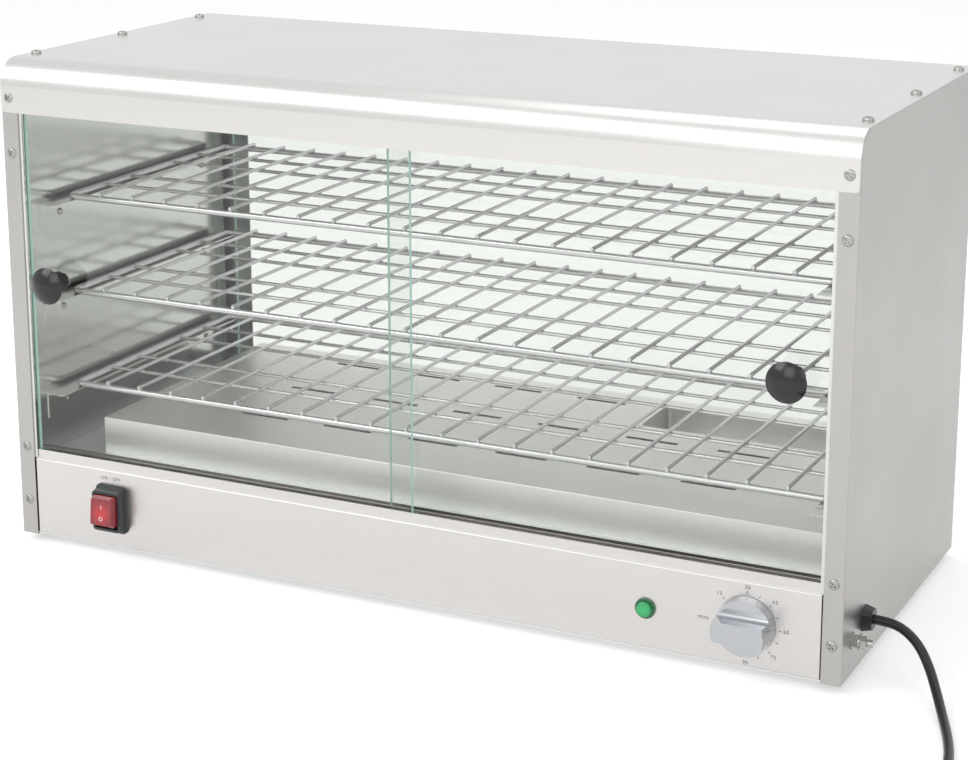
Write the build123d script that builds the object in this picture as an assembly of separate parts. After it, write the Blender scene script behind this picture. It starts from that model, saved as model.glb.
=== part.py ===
from build123d import *
import math
import os

# A counter-top pie warmer cabinet in bent stainless sheet. Two glass doors slide past each
# other across the front, three wire racks lift out, and a tubular element under a slotted
# cover heats the air. All sizes are in millimetres.
# The pieces are drawn from the cabinet's front left corner on the bench: x runs to the
# right, y from the header's face to the back, and z up. One move at the end puts the
# origin at the middle of the whole thing's box, on the bench.

# Outer box
body_width = 800
body_depth = 345
body_height = 450
foot_height = 8

# Sheet metal
skin = 1.2
liner_skin = 1.0
bend = 1.0
pillar_width = 17
rear_post_width = 46
header_height = 48
header_radius = 24
header_corner = 4
rear_flange = 20
top_inset = 0.6
base_height = 75
vent_count = 9
vent_right_gap = 240
vent_pitch = 16
vent_width = 5
vent_length = 90
vent_rear_gap = 105
panel_setback = 1.8
panel_return = 12
panel_gap = 1
play = 0.2
thread_fit = 0.05

# Sliding doors and their tracks
glass = 5
door_lap = 25
door_edge_gap = 0.5
front_glass_y = 5.5
glass_gap = 3
track_sheet = 1.0
track_groove_gap = 1.1
bottom_lip = 7.8
top_lip = 17.5
door_overlap_top = 8
glass_float = 0.3
arris = 0.5

# Door knobs
knob_inset = 31
knob_lift = 4
knob_reach = 25
knob_disc_radius = 17
knob_tip = 0.3
knob_neck_radius = 10
knob_neck_length = 12
knob_grooves = 16
knob_groove_radius = 0.8
knob_groove_out = 0.3
knob_screw_radius = 2.5
knob_screw_head = 1.5
knob_screw_head_radius = 7

# Inner box
liner_face = 20
back_channel_inset = 28
liner_end = 12
rear_glass_inset = 32
rear_lip = 12
rear_glass_top = 11

# Racks and their runners
rack_names = ("bottom", "middle", "top")
rack_first_level = 136
rack_pitch = 90.5
ring_radius = 3.0
wire_radius = 1.75
ring_corner = 8
rack_side_gap = 8
rack_front = 54
rack_rear_gap = 23
cross_wires = 20
long_wire_insets = (54, 97)
weld_gap = 0.05
runner_front = 22
ledge_width = 18
runner_drop = 24
runner_screw_inset = 30

# Element cover and water tray
cover_left = 66
cover_right_gap = 22
cover_front = 46
cover_rear_gap = 17
cover_height = 33.5
slot_length = 50
slot_width = 2.5
slot_columns = 6
slot_rows = 3
slot_column_inset = 134.75
slot_row_front = 68
slot_row_rear = 32
tray_length = 228
tray_width = 72
tray_right_gap = 22
tray_rear_gap = 18
tray_depth = 27
tray_rim = 3
tray_wall = 0.8
tray_fit = 0.6
tray_corner = 6

# Heating element
element_radius = 4
element_left_inset = 44
element_right_inset = 63
element_front_inset = 46
element_tray_gap = 50
element_rise = 14
element_bend_share = 0.42
element_drop_bend = 11
element_tail = 20
element_fit = 0.15
bush_neck_radius = 6
bush_neck_drop = 8
bush_flange = 2
bush_nut = 4
bracket_count = 3
bracket_inset = 92
bracket_sheet = 2
bracket_foot = 14
bracket_margin = 10

# Control panel fittings
switch_x = 103
switch_z = 47
switch_tilt = 6
switch_box = (28, 37)
switch_flange = (31, 41)
switch_flange_thick = 2
switch_length = 24
switch_well = (25, 33)
switch_well_depth = 9
boot_frame = (34, 46)
boot_collar = (29.5, 38)
boot_frame_depth = 6
boot_corner = 6
boot_ribs = 3
boot_rib_step = 1
boot_depth = 11
rocker_size = (24, 29)
rocker_tip = (22.6, 25)
rocker_reach = 21
rocker_pivot_depth = 2
rocker_back = 4.5
rocker_pin_radius = 1.5
rocker_pin_fit = 0.06

lamp_dial_gap = 87.5
lamp_z = 45
lamp_radius = 7
lamp_flange_radius = 9
lamp_flange = 2
lamp_reach = 6
lamp_length = 22
lamp_nut = 4

dial_right_gap = 80.5
dial_z = 46
dial_radius = 25
dial_tip_radius = 22.5
dial_depth = 24.5
dial_skirt = 9
dial_bar_width = 17.4
dial_gap = 0.5
dial_hollow = 4
dial_wall = 3
dial_hub_radius = 6
spindle_radius = 3
thermostat_size = (38, 26, 34)
thermostat_plate = (44, 2, 24)
thermostat_screw_x = 14
bulb_radius = 4
bulb_length = 90
bulb_left_of_middle = 70
bulb_tray_gap = 13
bulb_lift = 4
capillary_radius = 1
capillary_hole = 4
capillary_right_of_middle = 70
capillary_start = (-6, 6)
capillary_run = 80
capillary_straight = 70
capillary_bends = (20, 20, 12, 12)
terminal_right_gap = 62
terminal_length = 48
terminal_front = 128
terminal_width = 22
terminal_height = 22
terminal_bore = 2.6

# Side fittings
gland_y = 61
gland_z = 45
gland_head = (18, 21)
gland_reach = 8
gland_neck_radius = 8
gland_inner = 14
gland_round = 6
stud_y = 29
stud_z = 37.5
stud_radius = 3
stud_reach = 17
nut_across_flats = 10
nut_height = 5
washer_radius = 7
washer_thick = 1.2

# Screws and feet
screw_head_radius = 4.75
screw_head_height = 2.8
screw_radius = 2.4
screw_length = 9
screw_clear = 0.3
head_sides = 12
shank_sides = 6
wire_sides = 8
front_screw_x = 8.7
front_screw_low = 32
front_screw_sill = 8
front_screw_under_header = 39
front_screw_header = 12
top_screw_x = 9
top_screw_front = 44
top_screw_rear = 29
rear_screw_x = 23
rear_screw_z = (30, 70)
rear_screw_drop = 10
rear_screw_length = 6
small_head_radius = 3
small_head_height = 2
small_screw_radius = 1.5
small_screw_length = 4
foot_radius = 12
foot_tip_radius = 10
foot_inset = (50, 48)
foot_screw_length = 6

# Lead, its coil and its plug
cord_diameter = 8
coil_turns_per_layer = 3
coil_inner_radius = 30
coil_pitch = 8.6
plug_sleeve = 44
plug_width = 34
plug_height = 25
plug_length = 36
plug_pin = (1.6, 6.3, 17)

# Places that follow from the sizes above
bottom = foot_height
top = bottom + body_height
rear = body_depth
middle_x = body_width / 2
header_bottom = top - header_height
pillar_back = 2 * skin
pan_top = bottom + 2 * skin
floor_low = bottom + base_height
floor_top = floor_low + skin
pan_rear_face = rear - 3 * skin
track_front = front_glass_y - track_groove_gap - track_sheet
rear_glass_y = front_glass_y + glass + glass_gap
track_rear = rear_glass_y + glass + track_groove_gap + track_sheet
track_floor = floor_top + track_sheet
glass_bottom = track_floor + glass_float
track_top_low = header_bottom + skin / 2 + play
glass_top = track_top_low + door_overlap_top
left_door_x = liner_face + door_edge_gap
door_width = middle_x - left_door_x + door_lap / 2
right_door_x = body_width - left_door_x - door_width
knob_height = (glass_bottom + glass_top) / 2 + knob_lift
back_glass_rear = pan_rear_face - liner_skin - play
back_glass_front = back_glass_rear - glass
liner_rear = rear - liner_end
panel_face = panel_setback
panel_back = panel_setback + skin
rack_levels = [rack_first_level + rack_pitch * i for i in range(len(rack_names))]
rack_rear = body_depth - rack_rear_gap
cover_right = body_width - cover_right_gap
cover_rear = body_depth - cover_rear_gap
cover_top = floor_top + cover_height
slot_pitch_x = (cover_right - cover_left - 2 * slot_column_inset) / (slot_columns - 1)
slot_pitch_y = (cover_rear - cover_front - slot_row_front - slot_row_rear) / (slot_rows - 1)
tray_x = (cover_right - tray_right_gap - tray_length, cover_right - tray_right_gap)
tray_y = (cover_rear - tray_rear_gap - tray_width, cover_rear - tray_rear_gap)
element_x = (cover_left + element_left_inset, cover_right - element_right_inset)
element_y = (cover_front + element_front_inset, tray_y[0] - element_tray_gap)
element_bend = element_bend_share * (element_y[1] - element_y[0])
element_z = floor_top + element_rise
dial_x = body_width - dial_right_gap
lamp_x = dial_x - lamp_dial_gap
pivot_y = panel_face + rocker_pivot_depth
bulb_x = middle_x - bulb_left_of_middle
bulb_y = tray_y[0] - bulb_tray_gap
bulb_z = floor_top + bulb_radius + bulb_lift
capillary_hole_x = middle_x + capillary_right_of_middle
thermostat_back = panel_back + thermostat_plate[1] + thermostat_size[1]
front_screw_z = (bottom + front_screw_low, floor_top + front_screw_sill,
                 header_bottom - front_screw_under_header, header_bottom + front_screw_header)
top_screw_y = (top_screw_front, (top_screw_front + rear - top_screw_rear) / 2, rear - top_screw_rear)
forward_reach = dial_depth + dial_gap - panel_setback
cord_radius = cord_diameter / 2
wire_lift = ring_radius + wire_radius + weld_gap
mirror_plane = Plane.YZ.offset(middle_x)
upright = (Align.CENTER, Align.CENTER, Align.MIN)


def block(x, y, z):
    """A box between two values along each axis."""
    box = Box(x[1] - x[0], y[1] - y[0], z[1] - z[0], align=(Align.MIN, Align.MIN, Align.MIN))
    return Pos(x[0], y[0], z[0]) * box


def rod(start, direction, radius, length):
    """A round bar from a start point along a direction."""
    bar = Cylinder(radius, length, align=upright)
    return Plane(origin=start, z_dir=direction) * bar


def upper_front_edge(shape):
    """The edge along x at the top of the front."""
    return shape.edges().filter_by(Axis.X).sort_by(lambda e: e.center().Y - e.center().Z)[0]


def both_sides(shape):
    """A left-hand piece and its mirror image."""
    return shape, mirror(shape, about=mirror_plane)


def prism(start, direction, radius, length, sides):
    """A many-sided bar inside a round one, for what repeats often."""
    bar = extrude(RegularPolygon(radius, sides), length)
    return Plane(origin=start, z_dir=direction) * bar


def pan_screw(seat, direction, length=screw_length, radius=screw_radius,
              head_radius=screw_head_radius, head_height=screw_head_height):
    """A pan-head screw. Its head rests on the seat and its shank runs along direction."""
    back = Vector(*direction) * -1
    edge = head_height / 2
    base = Plane(origin=seat, z_dir=back)
    rim = base * extrude(RegularPolygon(head_radius, head_sides), edge)
    crown = loft([
        base.offset(edge) * RegularPolygon(head_radius, head_sides),
        base.offset(head_height) * RegularPolygon(0.6 * head_radius, head_sides),
    ])
    return rim + crown + prism(seat, direction, radius, length, shank_sides)


def screw_holes(screws_radius, places, direction, length):
    """Clearance holes that start a little before each place."""
    run = Vector(*direction)
    holes = [rod(Vector(*p) - run, direction, screws_radius + screw_clear, length + 1) for p in places]
    return Part() + holes


def save(name, shape):
    """Moves a piece to the part's origin and writes it."""
    offset = Location((-(body_width + stud_reach) / 2, (forward_reach - body_depth) / 2, 0))
    export_step(shape.moved(offset), f"parts/{name}.step")


# Screw places on the left side
front_places = [(front_screw_x, 0, z) for z in front_screw_z]
top_places = [(top_screw_x, y, top) for y in top_screw_y]
rear_places = [(rear_screw_x, rear, z) for z in rear_screw_z + (top - rear_screw_drop,)]
front_holes = screw_holes(screw_radius, front_places, (0, 1, 0), screw_length)
top_holes = screw_holes(screw_radius, top_places, (0, 0, -1), screw_length)
rear_holes = screw_holes(screw_radius, rear_places, (0, -1, 0), rear_screw_length + skin)
foot_places = [(x, y) for x in (foot_inset[0], body_width - foot_inset[0])
               for y in (foot_inset[1], body_depth - foot_inset[1])]
pan_screw_places = [(top_screw_x, y, bottom) for y in (foot_inset[1], body_depth - foot_inset[1])]
pan_holes = screw_holes(screw_radius, pan_screw_places, (0, 0, 1), rear_screw_length)


def side_tray(wall_x, rim_x, y, z, thick, corner):
    """A bent sheet: a wall at wall_x with rims all round that reach to rim_x."""
    low, high = sorted((wall_x, rim_x))
    inward = thick if rim_x > wall_x else -thick
    inner_low, inner_high = sorted((wall_x + inward, rim_x + inward))
    outer = block((low, high), y, z)
    outer = fillet(upper_front_edge(outer), corner)
    inner = block((inner_low, inner_high), (y[0] + thick, y[1] - thick), (z[0] + thick, z[1] - thick))
    inner = fillet(upper_front_edge(inner), corner - thick)
    return outer - inner


def side_panel():
    """The outer side skin, with the front pillar, the rear post and the top and bottom rims."""
    y = (skin, rear - skin)
    z = (bottom, top - skin)
    panel = side_tray(0, pillar_width, y, z, skin, header_radius - skin)
    outline = panel.faces().sort_by(Axis.X)[0].edges()
    panel = fillet(outline, bend)
    panel += block((pillar_width, rear_post_width), (rear - 2 * skin, rear - skin), z)
    return panel - front_holes - top_holes - rear_holes - pan_holes


def side_liner():
    """The inner side wall, folded outwards to meet the skin all round."""
    y = (pillar_back, liner_rear)
    z = (floor_top, top - 2 * skin - play)
    liner = side_tray(liner_face, skin, y, z, liner_skin, header_radius - 2 * skin)
    return liner - front_holes - top_holes - runner_holes


def top_panel():
    """The top skin, rolled over into the header at the front and folded down at the back."""
    x = (top_inset, body_width - top_inset)
    outer = block(x, (0, rear), (header_bottom, top))
    outer = fillet(upper_front_edge(outer), header_radius)
    inner_x = (x[0] - 1, x[1] + 1)
    inner = block(inner_x, (skin, rear - skin), (header_bottom - skin, top - skin))
    inner = fillet(upper_front_edge(inner), header_radius - skin)
    panel = outer - inner
    panel -= block(inner_x, (header_radius, rear + 1), (header_bottom - 1, top - rear_flange))
    corners = panel.edges().filter_by(Axis.Y).group_by(Axis.Z)[0]
    panel = fillet(corners, header_corner)
    lip_x = (liner_face + door_edge_gap, body_width - liner_face - door_edge_gap)
    panel += block(lip_x, (skin, track_front - play), (header_bottom, header_bottom + skin / 2))
    for hole in front_holes, top_holes, rear_holes:
        for piece in both_sides(hole):
            panel -= piece
    return panel


def base_pan():
    """The bottom plate with the rear sill, two front lugs and its air slots."""
    x = (skin, body_width - skin)
    pan = block(x, (pillar_back, pan_rear_face + skin), (bottom + skin, pan_top))
    sill_top = floor_top + rear_lip - play
    pan += block(x, (pan_rear_face, pan_rear_face + skin), (bottom + skin, sill_top))
    lug = block((skin, pillar_width), (pillar_back, pillar_back + skin), (bottom + skin, floor_low - 20))
    for hole in front_holes, rear_holes, pan_holes:
        lug -= hole
        for piece in both_sides(hole):
            pan -= piece
    for piece in both_sides(lug):
        pan += piece
    vent_y = (body_depth - vent_rear_gap - vent_length, body_depth - vent_rear_gap)
    for i in range(vent_count):
        slot_x = body_width - vent_right_gap + vent_pitch * i
        pan -= block((slot_x, slot_x + vent_width), vent_y, (bottom, pan_top + 1))
    for x_foot, y_foot in foot_places:
        pan -= rod((x_foot, y_foot, bottom), (0, 0, 1), screw_radius + screw_clear, 3 * skin)
    return pan


def floor_plate():
    """The floor of the warm space. It carries the door track, the liners and the element."""
    plate = block((skin, body_width - skin), (track_front, pan_rear_face), (floor_low, floor_top))
    for y in element_y:
        plate -= rod((element_x[1], y, floor_low - 1), (0, 0, 1), bush_neck_radius + screw_clear, skin + 2)
    plate -= rod((capillary_hole_x, bulb_y, floor_low - 1), (0, 0, 1), capillary_hole, skin + 2)
    return plate


def control_panel():
    """The front panel of the base, a shallow tray with three cut-outs."""
    x = (pillar_width + panel_gap, body_width - pillar_width - panel_gap)
    y = (panel_face, panel_face + panel_return)
    z = (pan_top, floor_low)
    outer = block(x, y, z)
    outer = fillet(outer.faces().sort_by(Axis.Y)[0].edges(), bend)
    inner = block((x[0] + skin, x[1] - skin), (panel_back, y[1] + 1), (z[0] + skin, z[1] - skin))
    panel = outer - inner
    half_w, half_h = switch_box[0] / 2 + play, switch_box[1] / 2 + play
    panel -= block((switch_x - half_w, switch_x + half_w), (0, 5), (switch_z - half_h, switch_z + half_h))
    panel -= rod((lamp_x, 0, lamp_z), (0, 1, 0), lamp_radius + play, 5)
    panel -= rod((dial_x, 0, dial_z), (0, 1, 0), spindle_radius + 1, 5)
    for x_screw in (dial_x - thermostat_screw_x, dial_x + thermostat_screw_x):
        panel -= rod((x_screw, 0, dial_z), (0, 1, 0), small_screw_radius + play, 5)
    return panel


def door_track(base_z, lip, up):
    """A channel with three lips and two grooves, one for each door. The lips point up or down."""
    x = (liner_face + play, body_width - liner_face - play)
    base_y = track_front if up else skin
    z = (base_z, base_z + track_sheet)
    track = block(x, (base_y, track_rear), z)
    lip_z = (base_z, base_z + lip) if up else (base_z + track_sheet - lip, base_z + track_sheet)
    middle = rear_glass_y - glass_gap / 2 - track_sheet / 2
    for y in (track_front, middle, track_rear - track_sheet):
        track += block(x, (y, y + track_sheet), lip_z)
    return track


def back_channel(base_z, lip, up):
    """The channel that holds the fixed back glass."""
    x = (back_channel_inset, body_width - back_channel_inset)
    y = (back_glass_front - play - liner_skin, pan_rear_face)
    channel = block(x, y, (base_z, base_z + liner_skin))
    lip_z = (base_z, base_z + lip) if up else (base_z + liner_skin - lip, base_z + liner_skin)
    for y_lip in (y[0], y[1] - liner_skin):
        channel += block(x, (y_lip, y_lip + liner_skin), lip_z)
    return channel


def back_glass():
    """The fixed pane at the back."""
    x = (rear_glass_inset, body_width - rear_glass_inset)
    z = (floor_top + liner_skin + glass_float, top - skin - rear_glass_top)
    pane = block(x, (back_glass_front, back_glass_rear), z)
    return chamfer(pane.edges(), arris)


def door_glass(x_left, y, knob_x):
    """One sliding pane, drilled for its knob."""
    pane = block((x_left, x_left + door_width), (y, y + glass), (glass_bottom, glass_top))
    pane = chamfer(pane.edges(), arris)
    return pane - rod((knob_x, y - 1, knob_height), (0, 1, 0), knob_screw_radius + screw_clear, glass + 2)


def door_knob(x, y):
    """A mushroom knob: a domed disc on a fluted neck, with a blind hole for its screw."""
    edge = knob_disc_radius
    corner = (edge - 1.5, knob_reach - 8)
    brim = (edge, knob_reach - 6)
    with BuildSketch(Plane.XZ) as outline:
        with BuildLine():
            Polyline((0, 0), (knob_neck_radius, 0), (knob_neck_radius, knob_neck_length), corner)
            TangentArc(corner, brim, tangent=(1, 0.8))
            ThreePointArc(brim, (0.6 * edge, knob_reach - 1.9), (knob_tip, knob_reach))
            Polyline((knob_tip, knob_reach), (0, knob_reach), (0, 0))
        make_face()
    knob = revolve(outline.sketch, Axis.Z)
    groove = Cylinder(knob_groove_radius, knob_neck_length - 1.5, align=upright)
    places = PolarLocations(knob_neck_radius + knob_groove_out, knob_grooves)
    knob -= [place * groove for place in places]
    knob -= Cylinder(knob_screw_radius + play, knob_neck_length + 4, align=upright)
    return Plane(origin=(x, y, knob_height), x_dir=(1, 0, 0), z_dir=(0, -1, 0)) * knob


def knob_screw(x, y):
    """The flat-headed screw that holds a knob from behind its glass."""
    seat = (x, y + glass, knob_height)
    head = rod(seat, (0, 1, 0), knob_screw_head_radius, knob_screw_head)
    return head + prism(seat, (0, -1, 0), knob_screw_radius, glass + knob_neck_length, shank_sides)


def runner(level):
    """An angle on the left liner: its ledge carries a rack and its flange hangs below."""
    ledge_top = bottom + level - ring_radius
    y = (runner_front, rack_rear)
    flange = block((liner_face, liner_face + liner_skin), y, (ledge_top - runner_drop, ledge_top))
    ledge = block((liner_face, liner_face + ledge_width), y, (ledge_top - liner_skin, ledge_top))
    return flange + ledge - runner_holes


def runner_screw_places():
    """Two places on each left runner, on the face of its flange."""
    x = liner_face + liner_skin
    return [(x, y, bottom + level - ring_radius - runner_drop / 2)
            for level in rack_levels
            for y in (runner_front + runner_screw_inset, rack_rear - runner_screw_inset)]


runner_holes = screw_holes(small_screw_radius, runner_screw_places(), (-1, 0, 0), small_screw_length)


def rack(level):
    """A wire rack: a bent ring, four long wires inside it and twenty cross wires on top."""
    z = bottom + level
    x = (liner_face + rack_side_gap + ring_radius, body_width - liner_face - rack_side_gap - ring_radius)
    ring_line = RectangleRounded(x[1] - x[0], rack_rear - rack_front, ring_corner).wires()[0]
    centre = Pos((x[0] + x[1]) / 2, (rack_front + rack_rear) / 2, z)
    ring_line = centre * ring_line
    wires = [swept_tube(ring_line, ring_radius)]
    long_z = z + ring_radius - wire_radius
    reach = ring_radius + weld_gap
    insets = long_wire_insets
    for y in [rack_front + a for a in insets] + [rack_rear - a for a in insets]:
        start = (x[0] + reach, y, long_z)
        wires.append(prism(start, (1, 0, 0), wire_radius, x[1] - x[0] - 2 * reach, wire_sides))
    pitch = (x[1] - x[0]) / (cross_wires + 1)
    cross_length = rack_rear - rack_front + 2 * wire_radius
    for i in range(cross_wires):
        start = (x[0] + pitch * (i + 1), rack_front - wire_radius, z + wire_lift)
        wires.append(prism(start, (0, 1, 0), wire_radius, cross_length, wire_sides))
    return Compound(wires)


def element_cover():
    """The slotted cover over the element, with the well for the water tray."""
    z = (floor_top, cover_top)
    outer = block((cover_left, cover_right), (cover_front, cover_rear), z)
    outer = fillet(outer.faces().sort_by(Axis.Z)[-1].edges(), bend)
    inner = block(
        (cover_left + liner_skin, cover_right - liner_skin),
        (cover_front + liner_skin, cover_rear - liner_skin),
        (z[0] - 1, z[1] - liner_skin),
    )
    cover = outer - inner
    for row in range(slot_rows):
        y = cover_front + slot_row_front + slot_pitch_y * row
        for column in range(slot_columns):
            x = cover_left + slot_column_inset + slot_pitch_x * column
            if y > tray_y[0] and x + slot_length > tray_x[0]:
                continue
            cover -= block(
                (x - slot_length / 2, x + slot_length / 2),
                (y - slot_width / 2, y + slot_width / 2),
                (cover_top - 2 * liner_skin, cover_top + 1),
            )
    well = block(tray_x, tray_y, (cover_top - 2 * liner_skin, cover_top + 1))
    well = fillet(well.edges().filter_by(Axis.Z), tray_corner)
    return cover - well


def water_tray():
    """A loose dish that hangs in the cover's well by its rim."""
    x = (tray_x[0] + tray_fit, tray_x[1] - tray_fit)
    y = (tray_y[0] + tray_fit, tray_y[1] - tray_fit)
    z = (cover_top - tray_depth, cover_top + tray_wall)
    dish = block(x, y, z)
    dish = fillet(dish.edges().filter_by(Axis.Z), tray_corner - tray_fit)
    dish = fillet(dish.faces().sort_by(Axis.Z)[0].edges(), 3)
    wall = tray_wall
    hollow = block((x[0] + wall, x[1] - wall), (y[0] + wall, y[1] - wall), (z[0] + wall, z[1] + 1))
    hollow = fillet(hollow.edges().filter_by(Axis.Z), tray_corner - tray_fit - wall)
    hollow = fillet(hollow.faces().sort_by(Axis.Z)[0].edges(), 2)
    rim_x = (x[0] - tray_rim, x[1] + tray_rim)
    rim_y = (y[0] - tray_rim, y[1] + tray_rim)
    rim = block(rim_x, rim_y, (cover_top, cover_top + wall))
    rim = fillet(rim.edges().filter_by(Axis.Z), tray_corner + tray_rim)
    return dish + rim - hollow


def bent_tube(points, radii, radius):
    """A tube of eight sides along straight runs joined by tangent arcs."""
    return swept_tube(FilletPolyline(*points, radius=radii), radius)


def swept_tube(path, radius):
    """A tube of eight sides along a path."""
    return sweep(Plane(origin=path @ 0, z_dir=path % 0) * RegularPolygon(radius, wire_sides), path=path)


def heating_element():
    """A hairpin of sheathed tube whose two ends turn down through the floor."""
    low = floor_low - element_tail
    x_bend, x_end = element_x
    y_a, y_b = element_y
    points = [(x_end, y_a, low), (x_end, y_a, element_z), (x_bend, y_a, element_z),
              (x_bend, y_b, element_z), (x_end, y_b, element_z), (x_end, y_b, low)]
    radii = [element_drop_bend, element_bend, element_bend, element_drop_bend]
    return bent_tube(points, radii, element_radius)


def element_bushes():
    """The collars that seal the element's ends in the floor, with their nuts below."""
    collars = []
    bore = element_radius + element_fit
    for y in element_y:
        x = element_x[1]
        collar = rod((x, y, floor_top), (0, 0, 1), bush_neck_radius + 3, bush_flange)
        collar += rod((x, y, floor_low - bush_neck_drop), (0, 0, 1), bush_neck_radius, bush_neck_drop + skin)
        collar -= rod((x, y, floor_low - bush_neck_drop - 1), (0, 0, 1), bore, bush_neck_drop + 10)
        nut = hex_prism((x, y, floor_low - bush_nut), (0, 0, 1), 2 * bush_neck_radius + 5, bush_nut)
        nut -= rod((x, y, floor_low - bush_nut - 1), (0, 0, 1), bush_neck_radius + thread_fit, bush_nut + 2)
        collars += [collar, nut]
    return Compound(collars)


def hex_prism(start, direction, across_flats, height):
    """A plain hexagonal nut blank."""
    outline = RegularPolygon(across_flats / math.sqrt(3), 6)
    return Plane(origin=start, z_dir=direction) * extrude(outline, height)


def element_brackets():
    """Upright strips on the floor plate that the element passes through."""
    strips = []
    y = (element_y[0] - bracket_margin, element_y[1] + bracket_margin)
    first, last = element_x[0] + bracket_inset, element_x[1] - bracket_inset
    for i in range(bracket_count):
        x = first + (last - first) * i / (bracket_count - 1)
        strip = block((x, x + bracket_sheet), y, (floor_top, element_z + bracket_margin))
        for y_leg in element_y:
            hole = rod((x - 1, y_leg, element_z), (1, 0, 0), element_radius + element_fit, bracket_sheet + 2)
            strip -= hole
        strips.append(strip + block((x, x + bracket_foot), y, (floor_top, floor_top + bracket_sheet)))
    return Compound(strips)


def lamp_body():
    """The barrel and flange of the pilot lamp."""
    flange = rod((lamp_x, panel_face, lamp_z), (0, -1, 0), lamp_flange_radius, lamp_flange)
    flange = fillet(flange.edges().sort_by(Axis.Y)[0], 0.8)
    barrel = rod((lamp_x, panel_face - 1, lamp_z), (0, 1, 0), lamp_radius, lamp_length)
    cup = rod((lamp_x, panel_face - lamp_flange - 1, lamp_z), (0, 1, 0), lamp_radius - 0.5, 5)
    return flange + barrel - cup


def lamp_lens():
    """The green lens, a short domed cylinder seated in the flange."""
    start = (lamp_x, panel_face - lamp_flange + 4, lamp_z)
    lens = rod(start, (0, -1, 0), lamp_radius - 0.5 - thread_fit, lamp_reach - lamp_flange + 4)
    return fillet(lens.edges().sort_by(Axis.Y)[0], 1.6)


def lamp_nut_ring():
    """The nut that clamps the lamp from behind."""
    ring = hex_prism((lamp_x, panel_back, lamp_z), (0, 1, 0), 2 * lamp_flange_radius, lamp_nut)
    return ring - rod((lamp_x, panel_back - 1, lamp_z), (0, 1, 0), lamp_radius + thread_fit, lamp_nut + 2)


def centred(size, y):
    """A box about the switch's centre, size being its width and height."""
    x = (switch_x - size[0] / 2, switch_x + size[0] / 2)
    z = (switch_z - size[1] / 2, switch_z + size[1] / 2)
    return block(x, y, z)


def switch_body():
    """The switch's housing, with the well that the rocker turns in."""
    flange_front = panel_face - switch_flange_thick
    body = centred(switch_flange, (flange_front, panel_face))
    body += centred(switch_box, (panel_face, panel_face + switch_length))
    body -= centred(switch_well, (flange_front - 1, panel_face + switch_well_depth))
    pin_reach = switch_well[0] / 2 + 1
    pin_bore = rocker_pin_radius + rocker_pin_fit
    pins = rod((switch_x - pin_reach, pivot_y, switch_z), (1, 0, 0), pin_bore, 2 * pin_reach)
    for x in (-9, 0, 9):
        start = (switch_x + x, panel_face + switch_length, switch_z)
        body += rod(start, (0, 1, 0), 1.2, 8)
    return body - pins


def switch_boot():
    """The rubber boot: a stepped frame against the panel and a tapered collar round the rocker."""
    front = panel_face - boot_depth
    base = Plane(origin=(switch_x, panel_face, switch_z), x_dir=(1, 0, 0), z_dir=(0, -1, 0))
    rib_depth = boot_frame_depth / boot_ribs
    ribs = []
    for i in range(boot_ribs):
        width, height = boot_frame[0] - 2 * boot_rib_step * i, boot_frame[1] - 2 * boot_rib_step * i
        rib = extrude(RectangleRounded(width, height, boot_corner - boot_rib_step * i), rib_depth)
        rib = chamfer(rib.faces().sort_by(Axis.Z)[-1].edges(), boot_rib_step / 2)
        ribs.append(base.offset(rib_depth * i) * rib)
    lower = base.offset(boot_frame_depth) * RectangleRounded(boot_collar[0] + 1.5, boot_collar[1] + 2, 4)
    upper = base.offset(boot_depth) * RectangleRounded(*boot_collar, 3)
    boot = loft([lower, upper]) + ribs
    pocket = (switch_flange[0] + 2 * play, switch_flange[1] + 2 * play)
    boot -= centred(pocket, (panel_face - switch_flange_thick - play, panel_face + 1))
    return boot - centred(switch_well, (front - 1, panel_face))


def switch_rocker():
    """The rocker at rest, with its lower end out. It turns on two short pins."""
    base = Plane(origin=(switch_x, pivot_y + rocker_back, switch_z), x_dir=(1, 0, 0), z_dir=(0, -1, 0))
    shoulder = rocker_back + rocker_reach - 5
    key = base * extrude(RectangleRounded(*rocker_size, 2), shoulder)
    lower = base.offset(shoulder) * RectangleRounded(*rocker_size, 2)
    upper = base.offset(shoulder + 5) * RectangleRounded(*rocker_tip, 2)
    key += loft([lower, upper])
    pin_reach = switch_well[0] / 2 + 0.8
    key += rod((switch_x - pin_reach, pivot_y, switch_z), (1, 0, 0), rocker_pin_radius, 2 * pin_reach)
    return key.rotate(Axis((switch_x, pivot_y, switch_z), (1, 0, 0)), -switch_tilt)


def dial_knob():
    """A chromed dial: a tapered drum cut away on both sides to leave a bar grip."""
    drum = Cone(dial_radius, dial_tip_radius, dial_depth, align=upright)
    drum = fillet(drum.edges().sort_by(Axis.Z)[-1], 1.5)
    cut_height = dial_depth - dial_skirt
    for side in (1, -1):
        cut = Box(3 * dial_radius, dial_radius, cut_height + 1, align=(Align.CENTER, Align.MIN, Align.MIN))
        cut = fillet(cut.edges().filter_by(Axis.X).sort_by(lambda e: e.center().Y + e.center().Z)[0], 3)
        cut = Pos(0, dial_bar_width / 2, dial_skirt) * cut
        drum -= cut if side == 1 else mirror(cut, about=Plane.XZ)
    hollow = Cylinder(dial_radius - dial_wall, dial_hollow, align=upright)
    hub = Cylinder(dial_hub_radius, dial_hollow, align=upright)
    bore = Cylinder(spindle_radius + thread_fit, dial_depth / 2, align=upright)
    drum = drum - (hollow - hub) - bore
    seat = Plane(origin=(dial_x, panel_face - dial_gap, dial_z), x_dir=(1, 0, 0), z_dir=(0, -1, 0))
    return seat * drum


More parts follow.
